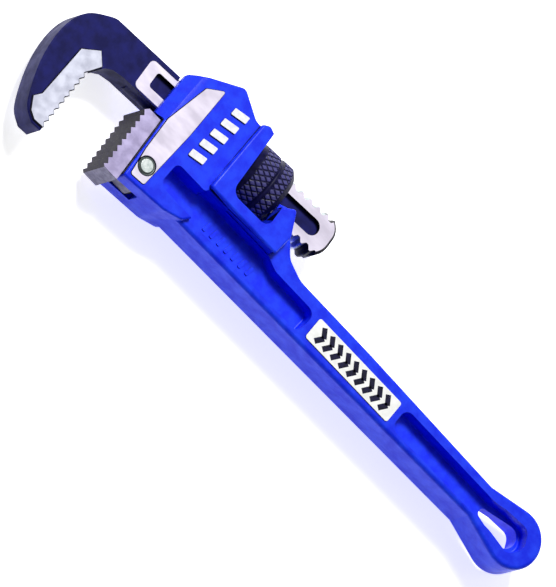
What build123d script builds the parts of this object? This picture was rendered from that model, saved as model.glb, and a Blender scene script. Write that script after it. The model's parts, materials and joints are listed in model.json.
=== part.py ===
from build123d import *
import os
from math import cos, radians, sin

# A straight-handled pipe wrench lying on its side. While it is drawn, X runs along the handle
# towards the hanging eye, Y runs from the heel jaw's side to the spine, and Z is the thickness.
# X = 0 is the heel jaw's tooth face, Y = 0 is the handle's middle and Z = 0 the mid-plane.
# All sizes are in millimetres.

# Handle casting
HANDLE_HALF = 10.0          # half thickness over the I-beam's rims
WEB_HALF = 3.0              # half thickness of the web between the rims
HEAD_HALF = 13.0            # half thickness of the housing that takes the hook jaw
FLANGE_HALF = 16.0          # half thickness of the raised frame round the nut
EYE = (253.9, 1.4)
EYE_RADIUS = 14.1
HOLE_WIDE = (252.2, 1.7)    # the hanging hole is a keyhole between two rounds
HOLE_WIDE_RADIUS = 5.4
HOLE_NARROW = (237.6, 1.3)
HOLE_NARROW_RADIUS = 2.3
PAD_RISE = 0.4              # machined band round the heel jaw's pin
MARK_RISE = 0.8             # raised bars on the housing
WEB_MARK_RISE = 0.6         # raised bars on the web
FLOOR_ROUND = 0.9           # casting round where the pocket walls meet the web
NOSE_DEPTH = 6.5            # how far the housing's bevelled nose falls away
THROUGH = 20.0              # half length of a cut that goes right through

# Hook jaw's shank: a flat bar with a thread cut on both edges, on its own tilted axis
SHANK_TILT = 3.7
SHANK_ORIGIN = (0.0, 29.5)
SHANK_HALF = 6.75
HOOK_HALF = 7.0
INSERT_HALF = 8.0
NECK_HALF_WIDTH = 9.4
THREAD_RADIUS = 11.45
THREAD_PITCH = 5.08
THREAD_DEPTH = 1.4
THREAD_START = 22.0
THREAD_COUNT = 16
TAIL_END = 104.6
TAIL_CHAMFER = 1.4
GROOVE_DEPTH = 2.6
FIT_GAP = 0.6               # clearance beside the shank
FLOOR_GAP = 1.65            # below the shank, room to rock
ROOF_GAP = 3.35             # above the shank, room to rock and for the springs

# Adjusting nut in its window
NUT_RADIUS = 15.6
NUT_START = 52.1
NUT_END = 72.9
NUT_PLAY = 1.0              # to the window at each end
NUT_BEVEL = (2.6, 2.2)
NUT_BORE = THREAD_RADIUS + 0.3
FLUTES = 26
FLUTE_RADIUS = 1.1
WAIST = (62.6, 65.0)        # shallow groove round the nut
WAIST_DEPTH = 0.9

# Heel jaw
HEEL_HALF = 10.25
TONGUE_HALF = 4.0
PIN = (15.9, -5.0)
PIN_RADIUS = 3.5
PIN_PROUD = 0.3             # beyond the machined band
COUNTERSINK = 0.8
TOOTH_PITCH = 3.5
TOOTH_DEPTH = 1.6

# Springs over the shank
STRIP = (16.0, 47.0)
STRIP_THICK = 1.0
STRIP_WIDTH = 9.0
STRIP_GAP = 0.3
COIL_AT = 28.0
COIL_RADIUS = 3.0
COIL_WIRE = 0.9
COIL_PITCH = 1.5
COIL_HEIGHT = 5.6
WELL_GAP = 1.1              # round the coil in its well

# Label plate
LABEL = (53.4, 11.6)
LABEL_AT = (148.0, 0.6)
LABEL_THICK = 0.5

shank_place = Location((*SHANK_ORIGIN, 0), (0, 0, SHANK_TILT))


def rounded(points, radii):
    """A flat face from an outline with each corner rounded by its own radius."""
    return make_face(FilletPolyline(*points, radius=radii, close=True))


def slab(face, half, low=None):
    """A solid over the face from -half to half, or from low to half."""
    if low is None:
        return extrude(face, amount=half, both=True)
    return Pos(0, 0, low) * extrude(face, amount=half - low)


def soften(solid, half, size):
    """Round the rim edges of a slab on both of its faces."""
    rims = solid.edges().filter_by(lambda edge: abs(abs(edge.center().Z) - half) < 1e-3)
    return fillet(rims, size)


def both_sides(solid):
    """The solid and its mirror image below the mid-plane."""
    return [solid, mirror(solid, Plane.XY)]


def toothed_edge(start, end, pitch, depth, lean):
    """Points of a row of teeth from start to end; the roots lie to the left of the way along."""
    run = Vector(end[0] - start[0], end[1] - start[1])
    along = run.normalized()
    inward = Vector(-along.Y, along.X)
    count = int(run.length / pitch)
    step = run.length / count
    points = []
    for tooth in range(count):
        tip = Vector(*start) + along * (tooth * step)
        root = tip + along * (step * lean) + inward * depth
        points += [(tip.X, tip.Y), (root.X, root.Y)]
    return points + [end]


# ---- handle casting ----

def handle_grip():
    """The I-beam grip from the housing to the hanging eye."""
    beam = rounded(
        [(30, -11.4), (110, -9.7), (236, -7.0), (236, 10.8), (185, 11.8), (150, 12.5),
         (104, 12.6), (94, 16.2), (80, 33.0), (60, 26), (30, 26)],
        [2, 60, 2, 2, 60, 60, 12, 9, 3, 2, 2],
    )
    neck = Pos(232, 1.9) * Rectangle(4, 17.4)
    eye = Pos(*EYE) * Circle(EYE_RADIUS)
    flare = make_hull(neck.edges() + eye.edges())
    plan = beam + flare
    waist = [v for v in plan.vertices() if 225 < v.X < 240]
    plan = fillet(waist, 1.5)
    return soften(slab(plan, HANDLE_HALF), HANDLE_HALF, 2.0)


def housing():
    """The thick head that the shank passes through."""
    plan = rounded(
        [(10.3, -15.8), (34.4, -13.6), (44, -10.6), (58, 10), (58, 40), (50.5, 48.6), (41, 48.6),
         (28.0, 55.8), (12.4, 46.9), (4.0, 40.9), (4.0, 17.2), (8.2, 17.2)],
        [1.5, 8, 4, 4, 4, 2, 6, 3.5, 8, 2, 0.6, 0.6],
    )
    head = soften(slab(plan, HEAD_HALF), HEAD_HALF, 1.2)
    nose = Polyline((-2, HEAD_HALF - NOSE_DEPTH), (9.6, HEAD_HALF + 0.01), (-2, HEAD_HALF + 2), close=True)
    nose = Pos(0, 60, 0) * extrude(Plane.XZ * make_face(nose), amount=43)
    for bevel in both_sides(nose):
        head -= bevel
    return head


def nut_frame():
    """The raised frame round the nut's window, with the cheek on its handle side."""
    plan = rounded(
        [(43.4, 9.4), (43.4, 48.4), (46.8, 50.5), (50.6, 49.0), (56, 24), (72, 26), (80.2, 32.0),
         (86.3, 20.5), (85.4, 9.4)],
        [1.5, 2, 2, 1.5, 2, 4, 1.5, 4, 1.5],
    )
    return soften(slab(plan, FLANGE_HALF), FLANGE_HALF, 1.2)


def pocket(points, radii, top):
    """A recess down to the web, with a round at its floor."""
    mouth = rounded(points, radii)
    recess = extrude(mouth, amount=-(top - WEB_HALF))
    floor = recess.edges().group_by(Axis.Z)[0]
    recess = fillet(floor, FLOOR_ROUND)
    return Pos(0, 0, top) * recess


def hanging_hole():
    """A keyhole through the eye, wide towards the end of the handle."""
    wide = Pos(HOLE_WIDE) * Circle(HOLE_WIDE_RADIUS)
    narrow = Pos(HOLE_NARROW) * Circle(HOLE_NARROW_RADIUS)
    return slab(make_hull(wide.edges() + narrow.edges()), THROUGH)


def marking():
    """Plain raised bars: a slanted row on the housing and a short row in the web's pocket."""
    bars = []
    for place in range(5):
        x, y = 30.7 + 0.72 * place, 15.6 + 7.1 * place
        corners = [(x - 4, y - 2.6), (x + 4, y - 1.0), (x + 4, y + 2.6), (x - 4, y + 1.0)]
        bar = rounded(corners, [0.5] * 4)
        bars += both_sides(slab(bar, HEAD_HALF + MARK_RISE, HEAD_HALF - 1))
    for place in range(7):
        x = 57.0 + 4.6 * place
        bar = rounded([(x - 1.2, -2.2), (x + 0.6, -2.2), (x + 1.6, 2.8), (x - 0.2, 2.8)], [0.4] * 4)
        bars += both_sides(slab(bar, WEB_HALF + WEB_MARK_RISE, WEB_HALF - 0.5))
    return bars


def pin_band():
    """The machined flat on each side of the housing round the heel jaw's pin."""
    plan = rounded(
        [(12.2, -13.4), (20.6, -12.6), (22.2, 20), (22.0, 47.8), (13.7, 41.6), (9.2, 18.0), (10.2, 0)],
        [1.5, 1.5, 30, 1.0, 1.5, 5, 20],
    )
    return both_sides(slab(plan, HEAD_HALF + PAD_RISE, HEAD_HALF - 1))


def make_handle():
    """The whole casting with its channel, window, pockets and slots."""
    body = handle_grip() + housing() + nut_frame()
    front_pocket = pocket(
        [(25.6, -6.4), (25.8, 7.0), (43.4, 7.0), (44.5, 9.0), (85.5, 9.0), (92, 6.4), (118.4, 6.2),
         (117.6, -6.4)],
        [4, 3, 2, 1, 1, 3, 4, 4], HEAD_HALF)
    back_pocket = pocket(
        [(178, -5.0), (178, 6.7), (236, 6.4), (244, 8.0), (256.5, 8.8), (261.0, 0), (255.2, -6.6),
         (243, -5.0)],
        [4, 4, 20, 10, 4.5, 6, 4, 10], HANDLE_HALF)
    step = FLANGE_HALF - HEAD_HALF
    ceiling = Pos(64, -1, HEAD_HALF + step) * Box(110, 20, 2 * step)
    for cut in both_sides(front_pocket) + both_sides(back_pocket) + both_sides(ceiling):
        body -= cut
    body -= hanging_hole()
    for raised in marking() + pin_band():
        body += raised

    shank_half = SHANK_HALF + FIT_GAP
    floor_at = -THREAD_RADIUS - FLOOR_GAP
    roof_at = THREAD_RADIUS + ROOF_GAP
    channel = Pos(20, (floor_at + 40) / 2, 0) * Box(70, 40 - floor_at, 2 * shank_half)
    roof = Pos(33.5, (roof_at + 40) / 2, 0) * Box(37, 40 - roof_at, 2 * shank_half)
    channel -= roof
    tail_way = Pos(90, (floor_at + 40) / 2, 0) * Box(80, 40 - floor_at, 2 * shank_half)
    coil_well = Pos(COIL_AT, 10, 0) * Rot(-90, 0, 0) * Cylinder(
        COIL_RADIUS + COIL_WIRE / 2 + WELL_GAP, 11.0, align=(Align.CENTER, Align.CENTER, Align.MIN))
    window_start = NUT_START - NUT_PLAY
    window_end = NUT_END + NUT_PLAY
    window = rounded(
        [(window_start, -18.2), (window_end, -19.0), (window_end, 40), (window_start, 40)], [5, 4, 1, 1])
    for cut in (channel, tail_way, coil_well, slab(window, THROUGH)):
        body -= shank_place * cut

    tongue_slot = rounded([(4, -20), (24.3, -20), (24.3, 11.5), (4, 11.5)], [1, 1, 3, 1])
    body -= slab(tongue_slot, TONGUE_HALF + 0.15)
    body -= Pos(*PIN, 0) * Cylinder(PIN_RADIUS, 2 * THROUGH)
    countersink = Pos(*PIN, HEAD_HALF + PAD_RISE - COUNTERSINK / 2) * Cone(
        PIN_RADIUS, PIN_RADIUS + COUNTERSINK, COUNTERSINK)
    for cut in both_sides(countersink):
        body -= cut
    return body


# ---- fixed jaw ----

def make_heel_jaw():
    """The toothed block on the housing's seat, held by its tongue and pin."""
    teeth = toothed_edge((-0.7, 14.4), (1.0, -17.6), TOOTH_PITCH, TOOTH_DEPTH, 0.62)
    back = [(2.2, -18.6), (10.3, -18.6), (8.15, 17.0), (8.0, 16.4), (1.0, 16.4)]
    block = slab(make_face(Polyline(*teeth, *back, close=True)), HEEL_HALF)
    tongue = rounded([(6, -14.5), (22.5, -14.5), (22.5, 10.5), (6, 10.5)], [1, 3, 3, 1])
    block += slab(tongue, TONGUE_HALF)
    return block - Pos(*PIN, 0) * Cylinder(PIN_RADIUS, 2 * THROUGH)


def make_pin():
    """The cross pin with its lightly chamfered ends."""
    pin = Cylinder(PIN_RADIUS, 2 * (HEAD_HALF + PAD_RISE + PIN_PROUD))
    pin = chamfer(pin.edges().filter_by(GeomType.CIRCLE), 0.5)
    return Pos(*PIN, 0) * pin


# ---- hook jaw, drawn along its own shank: X along the shank, Y across it ----

def insert_plan(front):
    """Outline of the keyed insert with two shoulders behind, and the given points in front."""
    back = [(-27.4, -13.0), (-32.4, -7.2), (-40.6, -13.2), (-42.8, -41.4), (-45.6, -45.2),
            (-42.4, -51.2), (-38.6, -53.6)]
    return make_face(Polyline(*front, *back, close=True))


def threaded_bar():
    """The shank: teeth cut across both edges of a flat bar, half a pitch apart like a screw."""
    root = THREAD_RADIUS - THREAD_DEPTH
    upper, lower = [], []
    for turn in range(THREAD_COUNT):
        start = THREAD_START + turn * THREAD_PITCH
        for part, height in [(0.0, 0), (0.14, 0), (0.42, 1), (0.58, 1), (0.86, 0)]:
            reach = root + height * THREAD_DEPTH
            upper.append((start + part * THREAD_PITCH, reach))
            lower.append((start + (part - 0.5) * THREAD_PITCH, -reach))
    blank = slab(rounded(
        [(-20, -12), (TAIL_END, -12), (TAIL_END, 6), (TAIL_END - 6, 12), (-20, 12)],
        [4, 10.5, 8, 5, 4]), SHANK_HALF)
    rims = blank.edges().filter_by(lambda edge: abs(abs(edge.center().Z) - SHANK_HALF) < 1e-3)
    blank = chamfer(rims, TAIL_CHAMFER)
    halves = []
    for points, side in ((upper, root), (lower, -root)):
        section = Polyline((-12, 0), (-12, side), *points, (TAIL_END, side), (TAIL_END, 0), close=True)
        halves.append(Rot(-90, 0, 0) * revolve(make_face(section), Axis.X, 180) & blank)
    return halves[0] + halves[1]


def make_hook_jaw():
    """The forged hook with its neck, threaded shank and long side grooves."""
    outer = [(-38.6, 7.6), (-46.6, 2.4), (-51.5, -6.5), (-52.9, -17.8), (-52.0, -28.0), (-49.6, -38.0),
             (-46.6, -46.2), (-42.8, -51.9), (-39.0, -54.5)]
    outline = Polyline((-33.0, -54.9), (-33.0, -20), (-26.0, -12.2), (-22.6, -10.2),
                       (-17.0, -NECK_HALF_WIDTH), (4, -NECK_HALF_WIDTH), (4, NECK_HALF_WIDTH),
                       (-33.0, NECK_HALF_WIDTH))
    back = Spline((-33.0, NECK_HALF_WIDTH), *outer, (-33.0, -54.9), tangents=[(-1, 0), (1, 0)])
    head = slab(make_face([*outline.edges(), *back.edges()]), HOOK_HALF)
    outside = head.edges().filter_by(
        lambda edge: abs(abs(edge.center().Z) - HOOK_HALF) < 1e-3 and edge.length > 36)
    head = fillet(outside, 0.6)
    bare = rounded([(-11.2, -8.6), (10, -8.6), (10, 7.0), (-11.2, 7.0)], [2.5, 1, 1, 2.5])
    for recess in both_sides(slab(bare, HOOK_HALF + 1, SHANK_HALF)):
        head -= recess
    jaw = head + threaded_bar()
    groove = rounded([(-5.4, -4.1), (96.6, -4.1), (96.6, 4.1), (-5.4, 4.1)], [1.6, 4.0, 4.0, 1.6])
    for recess in both_sides(slab(groove, HOOK_HALF + 1, SHANK_HALF - GROOVE_DEPTH)):
        jaw -= recess
    notch = insert_plan([(-25.0, -53.6), (-25.0, -18.6)])
    return shank_place * (jaw - slab(notch, THROUGH))


def make_hook_teeth():
    """The hardened toothed insert, a little wider than the hook."""
    teeth = toothed_edge((-32.6, -52.6), (-31.0, -18.6), TOOTH_PITCH, TOOTH_DEPTH, 0.38)
    return shank_place * slab(insert_plan([(-33.0, -53.6), *teeth]), INSERT_HALF)


# ---- nut and springs ----

def make_nut():
    """The round nut with bevelled ends and finger flutes, bored to clear the shank's thread."""
    length, drop = NUT_BEVEL
    turned = make_face(Polyline(
        (NUT_START, NUT_BORE), (NUT_START, NUT_RADIUS - drop), (NUT_START + length, NUT_RADIUS),
        (WAIST[0], NUT_RADIUS), (WAIST[0] + WAIST_DEPTH, NUT_RADIUS - WAIST_DEPTH),
        (WAIST[1] - WAIST_DEPTH, NUT_RADIUS - WAIST_DEPTH), (WAIST[1], NUT_RADIUS),
        (NUT_END - length, NUT_RADIUS), (NUT_END, NUT_RADIUS - drop), (NUT_END, NUT_BORE), close=True))
    nut = revolve(turned, Axis.X)
    reach = NUT_RADIUS + FLUTE_RADIUS / 2
    for flute in range(FLUTES):
        angle = radians(360 / FLUTES * flute)
        at = Pos((NUT_START + NUT_END) / 2, reach * cos(angle), reach * sin(angle))
        nut -= at * Rot(0, 90, 0) * Cylinder(FLUTE_RADIUS, 30)
    return shank_place * nut


def make_flat_spring():
    """The leaf that bears on the back of the shank."""
    low = THREAD_RADIUS + STRIP_GAP
    size = (STRIP[1] - STRIP[0], STRIP_THICK, STRIP_WIDTH)
    strip = Pos((STRIP[0] + STRIP[1]) / 2, low + STRIP_THICK / 2, 0) * Box(*size)
    return shank_place * fillet(strip.edges().filter_by(Axis.Y), 2.0)


def make_coil_spring():
    """The coil spring that stands on the leaf, in the well under the housing's peak."""
    foot = THREAD_RADIUS + STRIP_GAP + STRIP_THICK + COIL_WIRE / 2
    path = Helix(pitch=COIL_PITCH, height=COIL_HEIGHT, radius=COIL_RADIUS)
    wire = sweep(Plane(origin=path @ 0, z_dir=path % 0) * Circle(COIL_WIRE / 2), path, is_frenet=True)
    return shank_place * (Pos(COIL_AT, foot, 0) * Rot(-90, 0, 0) * wire)


def make_label():
    """A thin plate on the solid middle of the grip."""
    width, height = LABEL
    plate = Pos(*LABEL_AT) * RectangleRounded(width, height, 1.2)
    return slab(plate, HANDLE_HALF + LABEL_THICK, HANDLE_HALF)


parts = {
    "handle": make_handle(),
    "heel_jaw": make_heel_jaw(),
    "heel_jaw_pin": make_pin(),
    "hook_jaw": make_hook_jaw(),
    "hook_jaw_teeth": make_hook_teeth(),
    "adjusting_nut": make_nut(),
    "flat_spring": make_flat_spring(),
    "coil_spring": make_coil_spring(),
    "handle_label": make_label(),
}

# The part's origin is under the middle of its outer box, on the face that it lies on.
box = Compound(children=[Compound(p.solids()) for p in parts.values()]).bounding_box()
to_origin = Pos(-box.center().X, -box.center().Y, -box.min.Z)
print("moved by", tuple(to_origin.position), "box", tuple(box.min), tuple(box.max))

os.makedirs("parts", exist_ok=True)
for name, solid in parts.items():
    export_step(to_origin * solid, f"parts/{name}.step")
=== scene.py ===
import json
import logging
import math
from dataclasses import dataclass, field
from enum import Enum
from functools import cache

import bmesh
import bpy
from mathutils import Matrix, Vector


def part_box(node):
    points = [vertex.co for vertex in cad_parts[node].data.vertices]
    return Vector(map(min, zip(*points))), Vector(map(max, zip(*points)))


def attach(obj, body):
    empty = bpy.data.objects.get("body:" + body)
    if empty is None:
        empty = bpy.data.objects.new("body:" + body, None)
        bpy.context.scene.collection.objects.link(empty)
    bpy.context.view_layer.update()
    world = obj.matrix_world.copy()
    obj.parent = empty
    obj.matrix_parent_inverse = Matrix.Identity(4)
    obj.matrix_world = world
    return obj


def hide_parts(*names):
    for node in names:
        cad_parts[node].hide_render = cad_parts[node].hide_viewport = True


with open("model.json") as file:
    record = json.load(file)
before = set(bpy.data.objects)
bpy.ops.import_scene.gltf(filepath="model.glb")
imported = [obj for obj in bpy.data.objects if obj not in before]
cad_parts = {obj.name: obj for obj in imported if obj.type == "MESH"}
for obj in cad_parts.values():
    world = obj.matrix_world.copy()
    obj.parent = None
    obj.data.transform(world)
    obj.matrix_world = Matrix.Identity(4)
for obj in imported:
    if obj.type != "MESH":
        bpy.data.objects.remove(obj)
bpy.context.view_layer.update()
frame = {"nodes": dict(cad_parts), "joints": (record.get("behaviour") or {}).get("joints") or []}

# A cast pipe wrench lying on its side: blue enamelled casting, dark forged hook jaw on a bright
# threaded shank, knurled nut in its window, and a toothed heel jaw held by a cross pin.
# Lengths in the dataclasses are millimetres; meshes are in metres.

MM = 0.001
LEVEL = 0.95                # a face is level if its normal's height is above this
UPRIGHT = 0.3               # a face is upright if its normal's height is below this
FACING = 0.8                # a face looks along an axis if its normal's share of it is above this
NOISE_RANGE = (0.36, 0.64)  # where nearly all of a noise's values lie
WEAR_RANGE = (0.55, 1.0)    # heights of a mesh's own relief over which its crests wear
log = logging.getLogger("pipe_wrench")


# ---------------------------------------------------------------- helpers

def linear(colour: str) -> tuple[float, float, float, float]:
    """Turn an sRGB hex colour into the linear RGBA that a socket takes.

    Args:
        colour: Six hex digits after a hash sign.

    Returns:
        Linear red, green and blue, with an alpha of 1.
    """
    parts = [int(colour[i:i + 2], 16) / 255 for i in (1, 3, 5)]
    red, green, blue = (p / 12.92 if p <= 0.04045 else ((p + 0.055) / 1.055) ** 2.4 for p in parts)
    return red, green, blue, 1.0


def add_node(tree: bpy.types.NodeTree, kind: str, settings: dict | None = None,
             inputs: dict | None = None) -> bpy.types.Node:
    """Add one shader or geometry node.

    Args:
        tree: The tree that takes the node.
        kind: The node's type name.
        settings: Properties to set on the node.
        inputs: Input sockets by name or number; a socket is linked, any other value is set.

    Returns:
        The new node.
    """
    node = tree.nodes.new(kind)
    for name, value in (settings or {}).items():
        setattr(node, name, value)
    for key, value in (inputs or {}).items():
        if isinstance(value, bpy.types.NodeSocket):
            tree.links.new(value, node.inputs[key])
        else:
            node.inputs[key].default_value = value
    return node


@cache
def middle(node: str) -> Vector:
    """Give the middle of a frame node's box."""
    low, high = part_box(node)
    return (low + high) / 2


def new_piece(name: str, mesh: bpy.types.Mesh) -> bpy.types.Object:
    """Link a mesh into the scene as an object at the origin.

    Args:
        name: Name for the mesh and the object.
        mesh: The mesh, with its place in its vertices.

    Returns:
        The new object.
    """
    mesh.name = name
    piece = bpy.data.objects.new(name, mesh)
    bpy.context.scene.collection.objects.link(piece)
    return piece


def plain_mesh(piece: bpy.types.Object) -> bpy.types.Mesh:
    """Evaluate a piece with its modifiers and give the result as a plain mesh."""
    depsgraph = bpy.context.evaluated_depsgraph_get()
    return bpy.data.meshes.new_from_object(
        piece.evaluated_get(depsgraph), preserve_all_data_layers=True, depsgraph=depsgraph)


def settle(piece: bpy.types.Object, crease: float) -> None:
    """Bake a piece's modifiers, shade it smooth up to a crease angle, and flatten its large faces.

    Args:
        piece: The piece to finish.
        crease: Angle in degrees past which an edge stays sharp.
    """
    piece.data = plain_mesh(piece)
    piece.modifiers.clear()
    piece.data.polygons.foreach_set("use_smooth", [True] * len(piece.data.polygons))
    piece.data.set_sharp_from_angle(angle=math.radians(crease))
    flatten = piece.modifiers.new("flat_faces", "WEIGHTED_NORMAL")
    flatten.keep_sharp = True
    piece.data = plain_mesh(piece)
    piece.modifiers.clear()


def report(piece: bpy.types.Object, body: str) -> None:
    """Log a finished piece with its body and its number of triangles."""
    triangles = sum(len(polygon.vertices) - 2 for polygon in piece.data.polygons)
    log.info("%s rides on %s with %d triangles", piece.name, body, triangles)


# ---------------------------------------------------------------- finishes

@dataclass(frozen=True)
class Grain:
    """One layer of relief.

    Attributes:
        width: Size of its cells across the handle, in mm.
        height: Its height, in mm.
        length: Size of its cells along the handle where it is drawn out, in mm.
    """
    width: float
    height: float
    length: float | None = None


@dataclass(frozen=True)
class Finish:
    """A surface finish with soft colour patches, a roughness range and layers of relief.

    Attributes:
        name: The real finish.
        colour: Main colour.
        shade: Colour of the patches.
        patch: Size of the patches across, in mm.
        rough: Lowest and highest roughness.
        metallic: 1 for bare metal.
        gloss: Specular level, 0.5 for a usual varnish.
        grains: Layers of relief, coarse first.
        drawn: How many times longer the patches are along the handle.
        glow: Light given off, for a lit studio surface only.
        wear: Colour of the crests where the mesh carries its own relief height.
    """
    name: str
    colour: str
    shade: str
    patch: float = 5.0
    rough: tuple[float, float] = (0.3, 0.4)
    metallic: float = 0.0
    gloss: float = 0.5
    grains: tuple[Grain, ...] = ()
    drawn: float = 1.0
    glow: float = 0.0
    wear: str | None = None

    def pattern(self, tree: bpy.types.NodeTree, width: float, length: float) -> bpy.types.NodeSocket:
        """Add a noise on the object's own coordinates.

        Args:
            tree: The material's tree.
            width: Size of the noise's cells across the handle, in mm.
            length: Their size along the handle, in mm.

        Returns:
            The noise's value.
        """
        place = add_node(tree, "ShaderNodeTexCoord").outputs["Object"]
        sized = add_node(tree, "ShaderNodeMapping", {"vector_type": "TEXTURE"},
                         {"Vector": place, "Scale": (length * MM, width * MM, width * MM)})
        noise = add_node(tree, "ShaderNodeTexNoise", None,
                         {"Vector": sized.outputs[0], "Scale": 1.0, "Detail": 3.0, "Roughness": 0.55})
        return noise.outputs[0]

    def material(self) -> bpy.types.Material:
        """Build the material once, and give the same one each time after that.

        Returns:
            The node material.
        """
        found = bpy.data.materials.get(self.name)
        if found:
            return found
        material = bpy.data.materials.new(self.name)
        material.use_nodes = True
        tree = material.node_tree
        tree.nodes.clear()
        patches = self.pattern(tree, self.patch, self.patch * self.drawn)
        tone, rough = (add_node(tree, "ShaderNodeMapRange", None, {
            "Value": patches, "From Min": NOISE_RANGE[0], "From Max": NOISE_RANGE[1],
            "To Min": low, "To Max": high}).outputs[0] for low, high in ((0.0, 1.0), self.rough))
        mixed = add_node(tree, "ShaderNodeMix", {"data_type": "RGBA"},
                         {0: tone, 6: linear(self.colour), 7: linear(self.shade)}).outputs[2]
        if self.wear:
            relief = add_node(tree, "ShaderNodeAttribute", {"attribute_name": "relief"}).outputs["Fac"]
            crest = add_node(tree, "ShaderNodeMapRange", None,
                             {"Value": relief, "From Min": WEAR_RANGE[0], "From Max": WEAR_RANGE[1],
                              "To Min": 0.0, "To Max": 1.0}).outputs[0]
            mixed = add_node(tree, "ShaderNodeMix", {"data_type": "RGBA"},
                             {0: crest, 6: mixed, 7: linear(self.wear)}).outputs[2]
        surface: dict = {"Base Color": mixed, "Metallic": self.metallic,
                         "Specular IOR Level": self.gloss, "Roughness": rough}
        normal = None
        for grain in self.grains:
            height = self.pattern(tree, grain.width, grain.length or grain.width)
            inputs: dict = {"Strength": 1.0, "Distance": grain.height * MM, "Height": height}
            if normal:
                inputs["Normal"] = normal
            normal = add_node(tree, "ShaderNodeBump", None, inputs).outputs[0]
        if normal:
            surface["Normal"] = normal
        if self.glow:
            surface["Emission Color"] = linear(self.colour)
            surface["Emission Strength"] = self.glow
        shader = add_node(tree, "ShaderNodeBsdfPrincipled", None, surface)
        add_node(tree, "ShaderNodeOutputMaterial", None, {"Surface": shader.outputs[0]})
        return material


# Gloss enamel over sand-cast iron: deep blue with slow waves and a faint orange peel.
CAST_ENAMEL = Finish("gloss_enamel_on_cast_iron", "#1F41F8", "#102AE8", patch=6.0, rough=(0.3, 0.42),
                     gloss=0.16, grains=(Grain(5.0, 0.12), Grain(1.4, 0.045)))
# The same enamel darkened as painted shade on the soft edges and on the walls of the web marks.
EDGE_SHADE_ENAMEL = Finish("enamel_painted_shade_on_edges", "#070E90", "#04086A", patch=3.0, rough=(0.3, 0.42),
                     gloss=0.2, grains=(Grain(1.2, 0.03),))
# Near-black painted shade: round the milled band, on the walls of the band and the raised marks, on the
# heel's seat wall, and on the soft edges of the heel and the insert.
PAINTED_SHADE_BLACK = Finish("painted_shade_in_corners", "#05052A", "#020214", patch=3.0, rough=(0.4, 0.55),
                     gloss=0.2, grains=(Grain(1.2, 0.03),))
# White paint rolled on the tops of the raised marks, a little worn.
ROLLED_WHITE = Finish("rolled_white_paint", "#F4F4F8", "#E2E2EC", patch=2.5, rough=(0.45, 0.6),
                      grains=(Grain(0.9, 0.02),))
# Milled steel band and ground flats: bright, with fine cutter lines and faint tarnish.
MILLED_STEEL = Finish("milled_steel", "#D2CCDA", "#C8C2D0", patch=6.0, rough=(0.58, 0.68), metallic=1.0,
                      grains=(Grain(0.45, 0.006, 14.0),), drawn=2.5)
# Ground tool steel of the heel: lilac from its temper, drawn in lines along the wrench.
TEMPERED_STEEL = Finish("tempered_tool_steel", "#AFA7C8", "#A49CBC", patch=5.0, rough=(0.58, 0.7),
                        metallic=1.0, grains=(Grain(0.4, 0.008, 9.0),))
# Ground insert, brighter than the heel.
GROUND_STEEL = Finish("ground_tool_steel", "#BDBFCC", "#B4B6C4", patch=5.0, rough=(0.56, 0.68),
                      metallic=1.0, grains=(Grain(0.4, 0.007, 9.0),))
# Hardened steel, dark from its quench and nearly black as painted shade between the teeth and on the sides.
QUENCHED_AND_SHADED_STEEL = Finish("quenched_steel_and_painted_shade", "#1B1826", "#343042", patch=2.2, rough=(0.45, 0.6),
                        metallic=0.5, gloss=0.3, grains=(Grain(0.8, 0.03),))
# Turned pin, a little duller and greener than the band.
TURNED_STEEL = Finish("turned_steel", "#C6CCCA", "#A2ACAA", patch=1.8, rough=(0.4, 0.52), metallic=1.0,
                      grains=(Grain(0.5, 0.02),))
# The cone round the pin, dull and grey where the countersink chattered.
DULL_STEEL = Finish("dull_countersunk_steel", "#A4AEAC", "#8A9492", patch=1.5, rough=(0.45, 0.6),
                    metallic=0.9, grains=(Grain(0.6, 0.02),))
# Filed steel of the heel's lower end: mid grey between the bright flanks and the dark teeth.
FILED_STEEL = Finish("filed_steel", "#7C7A94", "#676580", patch=2.5, rough=(0.45, 0.6), metallic=0.4,
                     gloss=0.3, grains=(Grain(0.5, 0.01, 5.0),))
# Baked navy paint over a drop forging: low gloss, with the scale's soft pits showing through.
FORGED_PAINT = Finish("baked_paint_on_forging", "#1C1E64", "#15164C", patch=6.0, rough=(0.4, 0.54),
                      gloss=0.08, grains=(Grain(3.5, 0.09), Grain(1.1, 0.03)))
# The same paint, black as painted shade on the slot's walls and on the tail's rim.
SHADE_BLACK_PAINT = Finish("black_paint_as_painted_shade", "#030309", "#08081A", patch=3.0, rough=(0.4, 0.55),
                      gloss=0.12, grains=(Grain(1.2, 0.03),))
# Cut thread: bright steel, oily grey in patches, with the turning marks across it.
CUT_THREAD = Finish("cut_thread_steel", "#C6CECE", "#98A4A4", patch=2.5, rough=(0.3, 0.44), metallic=1.0,
                    grains=(Grain(0.5, 0.01, 2.0),))
# Black-oxide nut whose knurl crests have rubbed to a bluish grey; its near-black base is the oxide deepened
# by painted shade from the window round it.
OXIDE_NUT_AND_SHADE = Finish("black_oxide_knurl_and_painted_shade", "#0B0A2C", "#131140", patch=3.0, rough=(0.4, 0.55),
                   gloss=0.2, grains=(Grain(0.7, 0.02),), wear="#46447C")
# Blue-grey oil-tempered spring steel.
SPRING_STEEL = Finish("oil_tempered_spring", "#5A5E68", "#3C4048", patch=2.0, rough=(0.3, 0.4),
                      metallic=1.0, grains=(Grain(0.3, 0.004, 6.0),))
# Satin white film of the label, and its near-black print, which also colours the label's cut edge as painted
# shade.
LABEL_FILM = Finish("satin_label_film", "#FCFCFA", "#EDEEEA", patch=4.0, rough=(0.4, 0.5),
                    grains=(Grain(2.0, 0.01),))
LABEL_INK_AND_EDGE_SHADE = Finish("printed_ink_and_edge_shade", "#08071E", "#15133A", patch=2.0, rough=(0.4, 0.5), gloss=0.2,
                   grains=(Grain(0.8, 0.01),))
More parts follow.
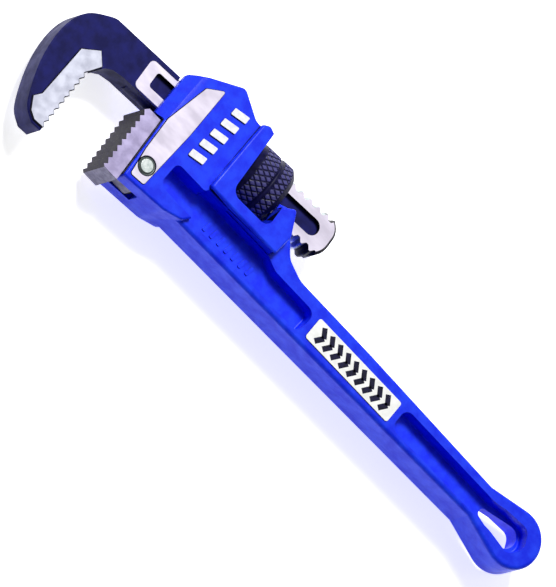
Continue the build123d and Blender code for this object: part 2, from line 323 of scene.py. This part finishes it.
# Lit white acrylic table: a flat white under the wrench.
LIT_TABLE = Finish("lit_acrylic_table", "#FFFFFF", "#FAFAFA", patch=300.0, rough=(0.6, 0.7), glow=0.75)


class Zone(Enum):
    """Kinds of surface that take a finish of their own."""
    MAIN = "main"
    MACHINED = "machined"
    MARKS = "raised marks"
    DARK = "dark corners"
    SINK = "countersink"
    END = "filed end"
    THREAD = "thread"
    EDGES = "soft edges"


class Body(Enum):
    """The rigid bodies of the wrench."""
    FRAME = "frame"
    SPRINGS = "springs"
    HOOK = "hook"
    NUT = "nut"


# ---------------------------------------------------------------- the shank's own axes

@dataclass(frozen=True)
class ShankAxes:
    """Axes of the shank: X along it from the heel's tooth face, Y across it, Z up.

    Attributes:
        pivot_from_heel: Where the nut's middle lies along the shank, in mm.
    """
    pivot_from_heel: float = 62.5

    @cache
    def place(self) -> Matrix:
        """Work out the axes from the frame's joints.

        Returns:
            The matrix from the shank's axes to the wrench's.
        """
        joints = {joint["name"]: joint for joint in frame["joints"]}
        along = Vector(joints["jaw_slide"]["axis"]).normalized()
        up = Vector((0, 0, 1))
        turn = Matrix((along, up.cross(along), up)).transposed().to_4x4()
        pivot = Vector(joints["nut_spin"]["pos_m"])
        return Matrix.Translation(pivot) @ turn @ Matrix.Translation((-self.pivot_from_heel * MM, 0, 0))

    @cache
    def inverse(self) -> Matrix:
        """Give the matrix from the wrench's axes to the shank's."""
        return self.place().inverted()

    def local(self, point: Vector) -> Vector:
        """Give a point of the wrench, in metres, in the shank's axes in mm."""
        return self.inverse() @ point / MM


# ---------------------------------------------------------------- pieces copied from the frame

@dataclass
class CopiedPiece:
    """A piece whose shape is the frame's, dressed face by face and given soft edges.

    Attributes:
        node: The frame's node.
        name: The piece's name.
        body: The body that it rides on.
        slot: The record's material slot; not used.
        finishes: The finish of each zone.
        edge: Width of the soft edges, in mm.
        border: Width of the near-black border of painted shade round machined faces, in mm, or 0 for none.
        merge: Distance under which vertices are merged, in mm.
        flat: Angle in degrees under which faces of one finish are joined.
        edge_angle: Angle in degrees past which an edge is softened.
        edge_steps: Steps across a soft edge.
        crease: Angle in degrees past which an edge stays sharp.
    """
    node: str
    name: str
    body: Body
    slot: str
    finishes: dict[Zone, Finish]
    edge: float = 0.25
    border: float = 0.0
    merge: float = 0.002
    flat: float = 0.6
    edge_angle: float = 32.0
    edge_steps: int = 2
    crease: float = 40.0

    def choose(self, centre: Vector, normal: Vector) -> Zone:
        """Give the zone of a face at this centre with this normal."""
        return Zone.MAIN

    def shape(self) -> bmesh.types.BMesh:
        """Copy the node's mesh, merge it, sort its faces by zone and lay the dark border of painted shade.

        Returns:
            The dressed shape.
        """
        shape = bmesh.new()
        shape.from_mesh(frame["nodes"][self.node].data)
        bmesh.ops.remove_doubles(shape, verts=shape.verts[:], dist=self.merge * MM)
        zones = list(self.finishes)
        for face in shape.faces:
            face.material_index = zones.index(self.choose(face.calc_center_median(), face.normal))
        bmesh.ops.dissolve_limit(shape, angle_limit=math.radians(self.flat), verts=shape.verts[:],
                                 edges=shape.edges[:], delimit={"MATERIAL"})
        # A strip of near-black painted shade round the machined faces.
        if self.border:
            machined = zones.index(Zone.MACHINED)
            edges = [edge for edge in shape.edges if len(edge.link_faces) == 2
                     and sum(face.material_index == machined for face in edge.link_faces) == 1]
            bmesh.ops.bevel(shape, geom=edges, offset=self.border * MM, offset_type="OFFSET",
                            segments=1, profile=0.5, affect="EDGES", clamp_overlap=True,
                            material=zones.index(Zone.DARK))
        return shape

    def build(self) -> bpy.types.Object:
        """Build the piece and put it in the node's place.

        Returns:
            The finished object.
        """
        shape = self.shape()
        mesh = bpy.data.meshes.new(self.name)
        shape.to_mesh(mesh)
        shape.free()
        for finish in self.finishes.values():
            mesh.materials.append(finish.material())
        piece = new_piece(self.name, mesh)
        soften = piece.modifiers.new("soft_edges", "BEVEL")
        soften.width = self.edge * MM
        soften.segments = self.edge_steps
        soften.limit_method = "ANGLE"
        soften.angle_limit = math.radians(self.edge_angle)
        soften.miter_outer = "MITER_ARC"
        soften.use_clamp_overlap = True
        # Soft edges take the EDGES finish where there is one, a darkening painted as shade.
        if Zone.EDGES in self.finishes:
            soften.material = list(self.finishes).index(Zone.EDGES)
        settle(piece, self.crease)
        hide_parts(self.node)
        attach(piece, self.body.value)
        report(piece, self.body.value)
        return piece


@dataclass
class Casting(CopiedPiece):
    """The blue handle casting with its milled band, seat and raised marks.

    Attributes:
        band_height: Height of the milled band over the middle plane.
        mark_height: Height of the raised marks on the housing.
        head_height: Height of the housing round them.
        height_slack: How near a level face is to one of these heights.
        web_marks_beyond_pin: Where the marks on the web start and end, behind the pin.
        web_marks_above_pin: Where they lie across the handle.
        web_mark_height: Their height.
        seat_ahead_of_pin: Where the heel's seat lies, in front of the pin.
        seat_top_above_pin: Where the seat ends, towards the spine.
        countersink_radius: Reach of the cone round the pin.
    """
    node: str = "handle"
    name: str = "handle_casting"
    body: Body = Body.FRAME
    slot: str = "blue_enamel_casting"
    finishes: dict[Zone, Finish] = field(default_factory=lambda: {
        Zone.MAIN: CAST_ENAMEL, Zone.MACHINED: MILLED_STEEL, Zone.MARKS: ROLLED_WHITE,
        Zone.DARK: PAINTED_SHADE_BLACK, Zone.SINK: DULL_STEEL, Zone.EDGES: EDGE_SHADE_ENAMEL})
    edge: float = 0.42
    border: float = 0.5
    band_height: float = 13.4
    mark_height: float = 13.8
    head_height: float = 13.0
    height_slack: float = 0.05
    web_marks_beyond_pin: tuple[float, float] = (39.0, 72.0)
    web_marks_above_pin: tuple[float, float] = (2.3, 8.4)
    web_mark_height: float = 3.6
    seat_ahead_of_pin: tuple[float, float] = (4.6, 8.4)
    seat_top_above_pin: float = 22.4
    countersink_radius: float = 4.5

    def choose(self, centre: Vector, normal: Vector) -> Zone:
        """Sort the faces into enamel, milled band, marks, countersink, and painted shade: near-black corners
        and darkened walls of the web marks.

        Args:
            centre: Middle of the face.
            normal: Its normal.

        Returns:
            The face's zone.
        """
        place = (centre - middle("heel_jaw_pin")) / MM
        height = abs(place.z)
        level, upright, facing_heel = abs(normal.z) > LEVEL, abs(normal.z) < UPRIGHT, normal.x < -FACING
        if math.hypot(place.x, place.y) < self.countersink_radius and not level:
            return Zone.SINK
        if level and abs(height - self.band_height) < self.height_slack:
            return Zone.MACHINED
        if level and abs(height - self.mark_height) < self.height_slack:
            return Zone.MARKS
        # Walls of the band and the raised marks: near-black painted shade.
        if upright and self.head_height < height < self.mark_height:
            return Zone.DARK
        first, last = self.web_marks_beyond_pin
        low, high = self.web_marks_above_pin
        # Walls of the marks on the web take the darkened enamel as painted shade.
        if not level and height < self.web_mark_height and first < place.x < last and low < place.y < high:
            return Zone.EDGES
        # The seat's wall facing the heel: near-black painted shade.
        near, far = self.seat_ahead_of_pin
        if facing_heel and near < -place.x < far and place.y < self.seat_top_above_pin:
            return Zone.DARK
        return Zone.MAIN


@dataclass
class HeelJaw(CopiedPiece):
    """The toothed heel jaw: ground flanks, quenched teeth darkened further as painted shade, filed lower
    end.

    Attributes:
        square: Share of a normal that makes a face a flank or an end.
    """
    node: str = "heel_jaw"
    name: str = "heel_jaw_block"
    body: Body = Body.FRAME
    slot: str = "ground_steel"
    # Teeth and sides take quenched steel darkened as painted shade; the soft edges take a near-black painted
    # shade.
    finishes: dict[Zone, Finish] = field(default_factory=lambda: {
        Zone.MAIN: QUENCHED_AND_SHADED_STEEL, Zone.MACHINED: TEMPERED_STEEL, Zone.END: FILED_STEEL,
        Zone.EDGES: PAINTED_SHADE_BLACK})
    edge: float = 0.3
    square: float = 0.9

    def choose(self, centre: Vector, normal: Vector) -> Zone:
        """Leave every face dark, the quench darkened further as painted shade, but the two flat flanks and
        the lower end.

        Args:
            centre: Middle of the face.
            normal: Its normal.

        Returns:
            The face's zone.
        """
        if abs(normal.z) > self.square:
            return Zone.MACHINED
        return Zone.END if normal.y < -self.square and Zone.END in self.finishes else Zone.MAIN


@dataclass
class HookInsert(HeelJaw):
    """The hardened insert of the hook jaw, with brighter flanks than the heel's."""
    node: str = "hook_jaw_teeth"
    name: str = "hook_jaw_insert"
    body: Body = Body.HOOK
    # Teeth and sides take quenched steel darkened as painted shade; the soft edges take a near-black
    # painted-shade outline.
    finishes: dict[Zone, Finish] = field(default_factory=lambda: {
        Zone.MAIN: QUENCHED_AND_SHADED_STEEL, Zone.MACHINED: GROUND_STEEL, Zone.EDGES: PAINTED_SHADE_BLACK})
    edge: float = 0.42


@dataclass
class HeelPin(HeelJaw):
    """The cross pin, its ends turned bright."""
    node: str = "heel_jaw_pin"
    name: str = "heel_jaw_cross_pin"
    slot: str = "bright_pin"
    finishes: dict[Zone, Finish] = field(default_factory=lambda: {
        Zone.MAIN: DULL_STEEL, Zone.MACHINED: TURNED_STEEL})
    edge: float = 0.1


@dataclass
class HookJaw(CopiedPiece):
    """The forged hook with its bare threaded shank.

    Attributes:
        axes: The shank's axes, which the places below are measured on.
        bare_height: Height of the bare flats over the middle plane.
        height_slack: How near a level face is to that height.
        slot_half_width: Half the width of the long groove, with its walls.
        slot_ends: Where the groove starts and ends.
        thread_start: Where the thread starts.
        tail_start: Where the tail's black rim of painted shade starts.
    """
    node: str = "hook_jaw"
    name: str = "hook_jaw_forging"
    body: Body = Body.HOOK
    slot: str = "dark_forging"
    finishes: dict[Zone, Finish] = field(default_factory=lambda: {
        Zone.MAIN: FORGED_PAINT, Zone.MACHINED: MILLED_STEEL, Zone.DARK: SHADE_BLACK_PAINT,
        Zone.THREAD: CUT_THREAD})
    edge: float = 0.18
    axes: ShankAxes = field(default_factory=ShankAxes)
    bare_height: float = 6.75
    height_slack: float = 0.05
    slot_half_width: float = 4.3
    slot_ends: tuple[float, float] = (-5.6, 96.8)
    thread_start: float = 19.4
    tail_start: float = 95.0

    def choose(self, centre: Vector, normal: Vector) -> Zone:
        """Sort the faces into paint, bare flats, thread, and black slot walls and tail rim as painted shade.

        Args:
            centre: Middle of the face.
            normal: Its normal.

        Returns:
            The face's zone.
        """
        place = self.axes.local(centre)
        height = abs(centre.z - middle(self.node).z) / MM
        level = abs(normal.z) > LEVEL
        start, end = self.slot_ends
        if level and abs(height - self.bare_height) < self.height_slack:
            return Zone.MACHINED
        # Inside the slot the floor keeps the navy paint and the walls take black paint as painted shade.
        if start < place.x < end and abs(place.y) < self.slot_half_width:
            return Zone.MAIN if level else Zone.DARK
        # Past its start the tail's rim takes black paint as painted shade.
        if place.x > self.tail_start:
            return Zone.DARK
        return Zone.THREAD if place.x > self.thread_start else Zone.MAIN


@dataclass
class LeafSpring(CopiedPiece):
    """The leaf over the back of the shank."""
    node: str = "flat_spring"
    name: str = "leaf_spring"
    body: Body = Body.SPRINGS
    slot: str = "spring_steel"
    finishes: dict[Zone, Finish] = field(default_factory=lambda: {Zone.MAIN: SPRING_STEEL})
    edge: float = 0.1


@dataclass
class LabelPlate(HeelJaw):
    """The label's white film, with its cut edge in the print's near-black as painted shade."""
    node: str = "handle_label"
    name: str = "label_plate"
    slot: str = "label_film"
    finishes: dict[Zone, Finish] = field(default_factory=lambda: {
        Zone.MAIN: LABEL_INK_AND_EDGE_SHADE, Zone.MACHINED: LABEL_FILM})
    edge: float = 0.05


# ---------------------------------------------------------------- pieces grown by geometry nodes

class SocketKind(Enum):
    """Kinds of named input on a geometry tree."""
    NUMBER = "NodeSocketFloat"
    COUNT = "NodeSocketInt"
    FINISH = "NodeSocketMaterial"


@dataclass
class GrownPiece:
    """A piece made by a geometry tree with named inputs, turned into a plain mesh.

    Attributes:
        name: The piece's name.
        body: The body that it rides on.
        slot: The record's material slot.
        finish: Its one finish.
        replaced: The frame's node that it stands for, if any.
        crease: Angle in degrees past which an edge stays sharp.
    """
    name: str
    body: Body
    # slot: The record's material slot; not used.
    slot: str
    finish: Finish
    replaced: str | None = None
    crease: float = 40.0

    def sizes(self) -> dict[str, float | int]:
        """Give the tree's named inputs with their values, lengths in metres."""
        raise NotImplementedError

    def grow(self, tree: bpy.types.NodeTree, given: bpy.types.Node) -> bpy.types.NodeSocket:
        """Add the nodes that make the shape.

        Args:
            tree: The geometry tree.
            given: Its input node, with the named sizes.

        Returns:
            The geometry socket that the shape ends in.
        """
        raise NotImplementedError

    def place(self) -> Matrix:
        """Give the matrix that takes the grown shape to its place."""
        raise NotImplementedError

    def tree(self) -> tuple[bpy.types.NodeTree, dict[str, str]]:
        """Build the tree.

        Returns:
            The tree, and the identifier of each named input.
        """
        tree = bpy.data.node_groups.new(self.name, "GeometryNodeTree")
        tree.interface.new_socket("Geometry", in_out="OUTPUT", socket_type="NodeSocketGeometry")
        keys = {}
        for name, value in self.sizes().items():
            kind = SocketKind.COUNT if isinstance(value, int) else SocketKind.NUMBER
            keys[name] = tree.interface.new_socket(name, in_out="INPUT", socket_type=kind.value).identifier
        keys["Finish"] = tree.interface.new_socket(
            "Finish", in_out="INPUT", socket_type=SocketKind.FINISH.value).identifier
        given = add_node(tree, "NodeGroupInput")
        shape = self.grow(tree, given)
        real = add_node(tree, "GeometryNodeRealizeInstances", None, {"Geometry": shape})
        dressed = add_node(tree, "GeometryNodeSetMaterial", None,
                           {"Geometry": real.outputs[0], "Material": given.outputs["Finish"]})
        add_node(tree, "NodeGroupOutput", None, {0: dressed.outputs[0]})
        return tree, keys

    def build(self) -> bpy.types.Object:
        """Grow the piece, make it plain and put it in its place.

        Returns:
            The finished object.
        """
        tree, keys = self.tree()
        piece = new_piece(self.name, bpy.data.meshes.new(self.name))
        modifier = piece.modifiers.new(self.name, "NODES")
        modifier.node_group = tree
        for name, value in self.sizes().items():
            modifier[keys[name]] = value
        modifier[keys["Finish"]] = self.finish.material()
        settle(piece, self.crease)
        shape = bmesh.new()
        shape.from_mesh(piece.data)
        bmesh.ops.recalc_face_normals(shape, faces=shape.faces[:])
        shape.to_mesh(piece.data)
        shape.free()
        piece.data.transform(self.place())
        if self.replaced:
            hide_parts(self.replaced)
        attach(piece, self.body.value)
        report(piece, self.body.value)
        return piece


@dataclass
class AdjustingNut(GrownPiece):
    """The round nut: a grid rolled into a drum along its section, with a crossed knurl.

    Attributes:
        axes: The shank's axes, along which the nut lies.
        start: Where the nut starts along the shank.
        length: Length of the nut.
        radius: Outer radius over the knurl's crests.
        bore: Radius of the bore.
        bevel: Length and depth of the bevels at the ends.
        waist: Where the shallow groove round the nut starts and ends.
        waist_depth: Depth of that groove.
        knurl_starts: Number of grooves that run each way round.
        knurl_depth: Depth of the knurl.
        knurl_slant: Slant of its grooves, in degrees.
        flat_crest: How much the crests are raised before they are cut off flat.
        knurl_fade: Share of the nut's length over which the knurl comes in.
        around: Steps round the drum.
        along: Steps along the section.
        seam: Distance under which the grid's meeting sides are joined.
    """
    name: str = "knurled_nut"
    body: Body = Body.NUT
    slot: str = "dark_nut"
    finish: Finish = OXIDE_NUT_AND_SHADE
    replaced: str | None = "adjusting_nut"
    crease: float = 50.0
    axes: ShankAxes = field(default_factory=ShankAxes)
    start: float = 52.1
    length: float = 20.8
    radius: float = 15.55
    bore: float = 11.75
    bevel: tuple[float, float] = (2.6, 2.2)
    waist: tuple[float, float] = (10.5, 12.9)
    waist_depth: float = 0.9
    knurl_starts: int = 32
    knurl_depth: float = 0.5
    knurl_slant: float = 33.0
    flat_crest: float = 1.7
    knurl_fade: float = 0.012
    around: int = 384
    along: int = 80
    seam: float = 0.003

    def section(self) -> list[tuple[float, float, float, float]]:
        """Work out the corners of the section, from the bore round the outside and back.

        Returns:
            Rows of place on the grid, share of the length, share of the wall, and knurl on or off.
        """
        reach = self.radius - self.bore
        shoulder = 1 - self.bevel[1] / reach
        low = 1 - self.waist_depth / reach
        at = [value / self.length for value in (
            self.bevel[0], self.waist[0], self.waist[0] + self.waist_depth,
            self.waist[1] - self.waist_depth, self.waist[1], self.length - self.bevel[0])]
        fade = self.knurl_fade
        corners = [
            (0, 0.0, 0.0, 0.0), (1, 0.0, shoulder, 0.0), (8, at[0], 1.0, 0.0),
            (9, at[0] + fade, 1.0, 1.0), (35, at[1] - fade, 1.0, 1.0), (36, at[1], 1.0, 0.0),
            (38, at[2], low, 0.0), (42, at[3], low, 0.0), (44, at[4], 1.0, 0.0),
            (45, at[4] + fade, 1.0, 1.0), (71, at[5] - fade, 1.0, 1.0), (72, at[5], 1.0, 0.0),
            (78, 1.0, shoulder, 0.0), (79, 1.0, 0.0, 0.0), (80, 0.0, 0.0, 0.0)]
        return [(step / self.along, *corner) for step, *corner in corners]

    def sizes(self) -> dict[str, float | int]:
        """Work out the drum's sizes and the knurl's.

        Returns:
            The tree's named inputs with their values.
        """
        twist = self.knurl_starts * math.tan(math.radians(self.knurl_slant)) / (self.radius * MM)
        return {"Length": self.length * MM, "Bore": self.bore * MM, "Reach": (self.radius - self.bore) * MM,
                "Starts": self.knurl_starts, "Twist": twist, "Depth": self.knurl_depth * MM,
                "Along": self.along + 1, "Around": self.around + 1}

    def steps(self) -> tuple[tuple, ...]:
        """Work out the surface's formula, one node to a step.

        Returns:
            Rows of result, node, settings, and the earlier results or numbers that it takes.
        """
        maths, curve = "ShaderNodeMath", "ShaderNodeFloatCurve"
        add, less, times, least, size, sine, cosine = (
            {"operation": name} for name in
            ("ADD", "SUBTRACT", "MULTIPLY", "MINIMUM", "ABSOLUTE", "SINE", "COSINE"))
        return (
            ("share", maths, add, "grid x", 0.5),
            ("round", maths, add, "grid y", 0.5),
            ("angle", maths, times, "round", 2 * math.pi),
            ("ahead", curve, {}, 1.0, "share"),
            ("wall", curve, {}, 1.0, "share"),
            ("land", curve, {}, 1.0, "share"),
            ("x", maths, times, "ahead", "Length"),
            ("lead", maths, times, "x", "Twist"),
            ("turn", maths, times, "angle", "Starts"),
            ("right hand", maths, add, "turn", "lead"),
            ("right half", maths, times, "right hand", 0.5),
            ("right wave", maths, sine, "right half"),
            ("right groove", maths, size, "right wave"),
            ("left hand", maths, less, "turn", "lead"),
            ("left half", maths, times, "left hand", 0.5),
            ("left wave", maths, sine, "left half"),
            ("left groove", maths, size, "left wave"),
            ("crossing", maths, least, "right groove", "left groove"),
            ("raised", maths, times, "crossing", self.flat_crest),
            ("crest", maths, least, "raised", 1.0),
            ("relief", maths, times, "crest", "land"),
            ("dip", maths, less, "crest", 1.0),
            ("dip on land", maths, times, "dip", "land"),
            ("sunk", maths, times, "dip on land", "Depth"),
            ("thickness", maths, times, "wall", "Reach"),
            ("plain radius", maths, add, "thickness", "Bore"),
            ("radius", maths, add, "plain radius", "sunk"),
            ("cosine", maths, cosine, "angle"),
            ("sine", maths, sine, "angle"),
            ("y", maths, times, "radius", "cosine"),
            ("z", maths, times, "radius", "sine"),
        )

    def grow(self, tree: bpy.types.NodeTree, given: bpy.types.Node) -> bpy.types.NodeSocket:
        """Roll a grid along the section, and sink the knurl's crossed grooves into its lands.

        Args:
            tree: The geometry tree.
            given: Its input node.

        Returns:
            The drum's geometry.
        """
        grid = add_node(tree, "GeometryNodeMeshGrid", None,
                        {"Size X": 1.0, "Size Y": 1.0, "Vertices X": given.outputs["Along"],
                         "Vertices Y": given.outputs["Around"]})
        spot = add_node(tree, "ShaderNodeSeparateXYZ", None,
                        {0: add_node(tree, "GeometryNodeInputPosition").outputs[0]})
        known = {socket.name: socket for socket in given.outputs}
        known.update({"grid x": spot.outputs[0], "grid y": spot.outputs[1]})
        for result, kind, settings, *values in self.steps():
            node = add_node(tree, kind, settings, dict(enumerate(known.get(v, v) for v in values)))
            known[result] = node.outputs[0]
        rows = self.section()
        for column, result in enumerate(("ahead", "wall", "land"), start=1):
            mapping = known[result].node.mapping
            points = mapping.curves[0].points
            points[0].location = (rows[0][0], rows[0][column])
            points[-1].location = (rows[-1][0], rows[-1][column])
            for row in rows[1:-1]:
                points.new(row[0], row[column])
            for point in points:
                point.handle_type = "VECTOR"
            mapping.update()
        rolled = add_node(tree, "ShaderNodeCombineXYZ", None, {0: known["x"], 1: known["y"], 2: known["z"]})
        marked = add_node(tree, "GeometryNodeStoreNamedAttribute", {"data_type": "FLOAT", "domain": "POINT"},
                          {"Geometry": grid.outputs[0], "Name": "relief", "Value": known["relief"]})
        drum = add_node(tree, "GeometryNodeSetPosition", None,
                        {"Geometry": marked.outputs[0], "Position": rolled.outputs[0]})
        return add_node(tree, "GeometryNodeMergeByDistance", None,
                        {"Geometry": drum.outputs[0], "Distance": self.seam * MM}).outputs[0]

    def place(self) -> Matrix:
        """Slide the drum along the shank to its start."""
        return self.axes.place() @ Matrix.Translation((self.start * MM, 0, 0))


@dataclass
class CoilSpring(GrownPiece):
    """The short coil in its well, a wire swept along a helix with closed ends.

    Attributes:
        radius: Radius of the helix to the wire's middle.
        wire: Radius of the wire.
        turns: Number of turns.
        height: Rise of the helix from end to end.
        steps: Steps in a turn.
        facets: Sides of the wire.
    """
    name: str = "coil_spring_wire"
    body: Body = Body.SPRINGS
    slot: str = "spring_steel"
    finish: Finish = SPRING_STEEL
    replaced: str | None = "coil_spring"
    radius: float = 3.0
    wire: float = 0.45
    turns: float = 3.733
    height: float = 5.6
    steps: int = 32
    facets: int = 12

    def sizes(self) -> dict[str, float | int]:
        """Give the helix's sizes and the wire's."""
        return {"Radius": self.radius * MM, "Wire": self.wire * MM, "Height": self.height * MM,
                "Turns": self.turns, "Steps": self.steps}

    def grow(self, tree: bpy.types.NodeTree, given: bpy.types.Node) -> bpy.types.NodeSocket:
        """Sweep a round wire along a helix.

        Args:
            tree: The geometry tree.
            given: Its input node.

        Returns:
            The wire's geometry.
        """
        helix = add_node(tree, "GeometryNodeCurveSpiral", None,
                         {"Resolution": given.outputs["Steps"], "Rotations": given.outputs["Turns"],
                          "Start Radius": given.outputs["Radius"], "End Radius": given.outputs["Radius"],
                          "Height": given.outputs["Height"]})
        wire = add_node(tree, "GeometryNodeCurvePrimitiveCircle", None,
                        {"Resolution": self.facets, "Radius": given.outputs["Wire"]})
        return add_node(tree, "GeometryNodeCurveToMesh", None,
                        {"Curve": helix.outputs[0], "Profile Curve": wire.outputs[0],
                         "Fill Caps": True}).outputs[0]

    def place(self) -> Matrix:
        """Stand the helix on the leaf, with its axis across the shank."""
        across = ShankAxes().place().to_3x3().col[1]
        foot = middle("coil_spring") - across * (self.height / 2 * MM)
        return Matrix.Translation(foot) @ across.to_track_quat("Z", "X").to_matrix().to_4x4()


@dataclass
class LabelPrint(GrownPiece):
    """A row of plain chevrons printed on the label.

    Attributes:
        count: Number of chevrons.
        pitch: Distance from one to the next.
        tall: Height of a chevron across the label.
        stroke: Width of its strokes.
        slant: Lean of each stroke, in degrees.
        arm_share: How far each stroke's middle is from the chevron's, as a share of its height.
        ink: Thickness of the print.
    """
    name: str = "label_chevrons"
    body: Body = Body.FRAME
    slot: str = "label_film"
    finish: Finish = LABEL_INK_AND_EDGE_SHADE
    crease: float = 30.0
    count: int = 9
    pitch: float = 5.2
    tall: float = 8.2
    stroke: float = 2.6
    slant: float = 34.0
    arm_share: float = 1 / 4.2
    ink: float = 0.04

    def sizes(self) -> dict[str, float | int]:
        """Work out the row's count and pitch, and each stroke's sizes.

        Returns:
            The tree's named inputs with their values.
        """
        slant = math.radians(self.slant)
        return {"Count": self.count, "Pitch": self.pitch * MM, "Stroke": self.stroke * MM,
                "Arm": self.tall / math.cos(slant) / 2 * MM, "Ink": self.ink * MM,
                "Rise": self.tall * self.arm_share * MM, "Slant": slant}

    def grow(self, tree: bpy.types.NodeTree, given: bpy.types.Node) -> bpy.types.NodeSocket:
        """Join two leaning strokes into a chevron and repeat it along a line.

        Args:
            tree: The geometry tree.
            given: Its input node.

        Returns:
            The row's instances.
        """
        size = add_node(tree, "ShaderNodeCombineXYZ", None,
                        {0: given.outputs["Stroke"], 1: given.outputs["Arm"], 2: given.outputs["Ink"]})
        stroke = add_node(tree, "GeometryNodeMeshCube", None, {"Size": size.outputs[0]})
        both = add_node(tree, "GeometryNodeJoinGeometry")
        for sign in (1.0, -1.0):
            rise, lean = (add_node(tree, "ShaderNodeMath", {"operation": "MULTIPLY"},
                                   {0: given.outputs[name], 1: sign}) for name in ("Rise", "Slant"))
            shift = add_node(tree, "ShaderNodeCombineXYZ", None, {1: rise.outputs[0]})
            turn = add_node(tree, "ShaderNodeCombineXYZ", None, {2: lean.outputs[0]})
            moved = add_node(tree, "GeometryNodeTransform", None,
                             {"Geometry": stroke.outputs[0], "Translation": shift.outputs[0],
                              "Rotation": turn.outputs[0]})
            tree.links.new(moved.outputs[0], both.inputs[0])
        step = add_node(tree, "ShaderNodeCombineXYZ", None, {0: given.outputs["Pitch"]})
        row = add_node(tree, "GeometryNodeMeshLine", None,
                       {"Count": given.outputs["Count"], "Offset": step.outputs[0]})
        return add_node(tree, "GeometryNodeInstanceOnPoints", None,
                        {"Points": row.outputs[0], "Instance": both.outputs[0]}).outputs[0]

    def place(self) -> Matrix:
        """Centre the row on the label's face.

        Returns:
            The matrix that takes the row to its place.
        """
        label = middle("handle_label")
        start = -(self.count - 1) / 2 * self.pitch * MM
        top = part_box("handle_label")[1].z
        return Matrix.Translation((label.x + start, label.y, top + self.ink / 2 * MM))


# ---------------------------------------------------------------- studio

@dataclass(frozen=True)
class Softbox:
    """A square area light aimed at the wrench.

    Attributes:
        name: The light's name.
        towards: Direction from the wrench to the light.
        distance: Distance between them, in metres.
        side: Side of the square, in metres.
        brightness: Radiance of its face.
    """
    name: str
    towards: tuple[float, float, float]
    distance: float
    side: float
    brightness: float

    def build(self, aim: Vector) -> bpy.types.Object:
        """Hang the light and aim it.

        Args:
            aim: The point that it shines at.

        Returns:
            The light.
        """
        data = bpy.data.lights.new(self.name, "AREA")
        data.shape = "SQUARE"
        data.size = self.side
        data.energy = self.brightness * math.pi * self.side ** 2
        light = bpy.data.objects.new(self.name, data)
        way = Vector(self.towards).normalized()
        light.location = aim + way * self.distance
        light.rotation_euler = way.to_track_quat("Z", "Y").to_euler()
        light.visible_camera = False
        bpy.context.scene.collection.objects.link(light)
        return light


@dataclass(frozen=True)
class Studio:
    """A lit white table, two softboxes and a long-lens camera rolled so that the wrench leans.

    Attributes:
        back: Direction from the wrench to the camera.
        right: The camera's right.
        aim_from_label: From the label's middle to the point in the middle of the view, in metres.
        view_height: Height of the view at the wrench, in metres.
        distance: Distance of the camera, in metres.
        sensor: Width of the camera's sensor, in mm.
        table_side: Side of the table, in metres.
        table_drop: How far the table lies below the wrench, in metres.
        dusk: Brightness of the room round the softboxes.
        softboxes: The lights.
    """
    back: tuple[float, float, float] = (-0.2464, -0.4061, 0.8801)
    right: tuple[float, float, float] = (0.6712, 0.5894, 0.4599)
    aim_from_label: tuple[float, float, float] = (-0.04866, -0.00075, -0.00028)
    view_height: float = 0.2567
    distance: float = 8.0
    sensor: float = 36.0
    table_side: float = 8.0
    table_drop: float = 0.0002
    dusk: float = 0.05
    softboxes: tuple[Softbox, ...] = (
        Softbox("overhead_softbox", (0.22, 0.36, 0.91), 1.5, 1.1, 0.8),
        Softbox("key_softbox", (-0.30, 0.45, 0.84), 1.8, 0.5, 45.0))

    def aim(self) -> Vector:
        """Give the point that the camera looks at, measured from the label's middle."""
        return middle("handle_label") + Vector(self.aim_from_label)

    def table(self) -> None:
        """Lay the table a hair below the wrench."""
        half, low = self.table_side / 2, -self.table_drop
        mesh = bpy.data.meshes.new("table")
        corners = [(-half, -half, low), (half, -half, low), (half, half, low), (-half, half, low)]
        mesh.from_pydata(corners, [], [(0, 1, 2, 3)])
        mesh.materials.append(LIT_TABLE.material())
        new_piece("table", mesh)

    def lights(self) -> None:
        """Hang the softboxes and set the dim room."""
        aim = self.aim()
        for softbox in self.softboxes:
            softbox.build(aim)
        world = bpy.data.worlds.new("studio_room")
        world.use_nodes = True
        world.node_tree.nodes.clear()
        room = add_node(world.node_tree, "ShaderNodeBackground", None,
                        {"Color": (1, 1, 1, 1), "Strength": self.dusk})
        add_node(world.node_tree, "ShaderNodeOutputWorld", None, {"Surface": room.outputs[0]})
        bpy.context.scene.world = world

    def camera(self) -> None:
        """Set the long-lens camera."""
        back = Vector(self.back).normalized()
        right = Vector(self.right).normalized()
        data = bpy.data.cameras.new("camera")
        data.sensor_width = self.sensor
        data.lens = self.sensor * self.distance / self.view_height
        camera = bpy.data.objects.new("camera", data)
        turn = Matrix((right, back.cross(right), back)).transposed().to_4x4()
        camera.matrix_world = Matrix.Translation(self.aim() + back * self.distance) @ turn
        bpy.context.scene.collection.objects.link(camera)
        bpy.context.scene.camera = camera

    def build(self) -> None:
        """Set the table, the lights, the camera and the plain view transform."""
        self.table()
        self.lights()
        self.camera()
        bpy.context.scene.view_settings.view_transform = "Standard"


def main() -> None:
    """Build the wrench piece by piece, then the studio."""
    logging.basicConfig(level=logging.INFO, format="%(message)s")
    for assembly in (Casting(), HeelJaw(), HeelPin(), HookJaw(), HookInsert(), AdjustingNut(),
                     LeafSpring(), CoilSpring(), LabelPlate(), LabelPrint()):
        assembly.build()
    Studio().build()


if __name__ == "__main__":
    main()
